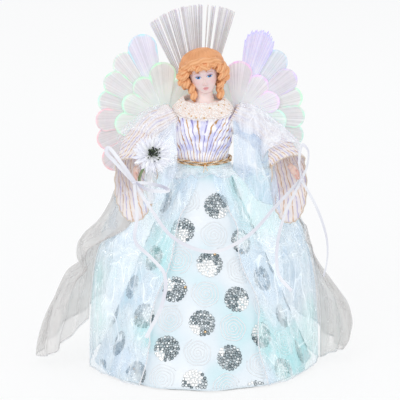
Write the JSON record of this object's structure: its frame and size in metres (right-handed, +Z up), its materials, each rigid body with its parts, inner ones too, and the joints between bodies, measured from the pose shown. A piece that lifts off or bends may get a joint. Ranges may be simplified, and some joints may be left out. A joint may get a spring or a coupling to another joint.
{
  "type": "angel tree topper",
  "caption": "Angel figure for a tree top: hollow skirted cone over a tree socket, striped sleeves, fibre-optic petal wings and halo fan, battery box with hinged cover and slide switch inside.",
  "frame": {"origin": "middle of the base rim, on the axis where the tree's tip enters, at the height of the surface it stands on", "axes": "+Z up, -Y towards the viewer (the figure's front), +X to the viewer's right"},
  "size_m": [0.2809, 0.2007, 0.3273],
  "materials": {
    "cone_plastic": "satin",
    "grey_plastic": "satin",
    "dark_plastic": "satin",
    "board": "satin",
    "led": "clear, lit",
    "lead_sleeve": "satin",
    "cell_can": "satin",
    "wire": "bright",
    "resin": "painted",
    "stripe_cloth": "glitter stripes",
    "gold_braid": "metallic thread",
    "lace": "beaded",
    "skirt_satin": "satin, lit from inside",
    "ribbon_satin": "satin",
    "organza": "sheer",
    "feather": "feathery",
    "halo_fibre": "clear fibre",
    "petal_left": "clear fibre, lit",
    "petal_right": "clear fibre, lit"
  },
  "bodies": {
    "figure": {"skirt_cone": "cone_plastic", "underskirt": "skirt_satin", "overskirt": "organza", "tail_left": "organza", "tail_right": "organza", "supply_lead": "lead_sleeve", "lamp_housing": "cone_plastic", "led_board": "board", "led_left": "led", "led_right": "led", "fibre_ferrule": "grey_plastic", "tree_socket": "cone_plastic", "battery_box": "grey_plastic", "cell_left": "cell_can", "cell_right": "cell_can", "fibre_trunk": "halo_fibre", "arm_wire": "wire", "torso_form": "cone_plastic", "bodice": "stripe_cloth", "waist_braid": "gold_braid", "collar": "lace", "sleeve_left": "stripe_cloth", "sleeve_right": "stripe_cloth", "shawl_left": "organza", "shawl_right": "organza", "hand_left": "resin", "hand_right": "resin", "flower_stem": "dark_plastic", "flower_bloom": "feather", "ribbon_swag": "ribbon_satin", "ribbon_left": "ribbon_satin", "ribbon_right": "ribbon_satin", "ribbon_outer": "ribbon_satin", "head": "resin", "wing_hub": "cone_plastic", "halo_fan": "halo_fibre", "inner_petal_left_1": "petal_left", "inner_petal_left_2": "petal_left", "inner_petal_left_3": "petal_left", "inner_petal_left_4": "petal_left", "outer_petal_left_1": "petal_left", "outer_petal_left_2": "petal_left", "outer_petal_left_3": "petal_left", "outer_petal_left_4": "petal_left", "outer_petal_left_5": "petal_left", "outer_petal_left_6": "petal_left", "outer_petal_left_7": "petal_left", "inner_petal_right_1": "petal_right", "inner_petal_right_2": "petal_right", "inner_petal_right_3": "petal_right", "inner_petal_right_4": "petal_right", "outer_petal_right_1": "petal_right", "outer_petal_right_2": "petal_right", "outer_petal_right_3": "petal_right", "outer_petal_right_4": "petal_right", "outer_petal_right_5": "petal_right", "outer_petal_right_6": "petal_right", "outer_petal_right_7": "petal_right"},
    "cover": {"battery_cover": "grey_plastic"},
    "switch": {"switch_knob": "dark_plastic"}
  },
  "joints": [
    {"name": "cover_hinge", "type": "hinge", "parent": "figure", "child": "cover", "pos_m": [0, 0.05509, 0.0306], "axis": [1, 0, 0], "range_deg": [0, 95]},
    {"name": "switch_slide", "type": "slide", "parent": "figure", "child": "switch", "axis": [1, 0, 0], "range_m": [0, 0.004]}
  ]
}
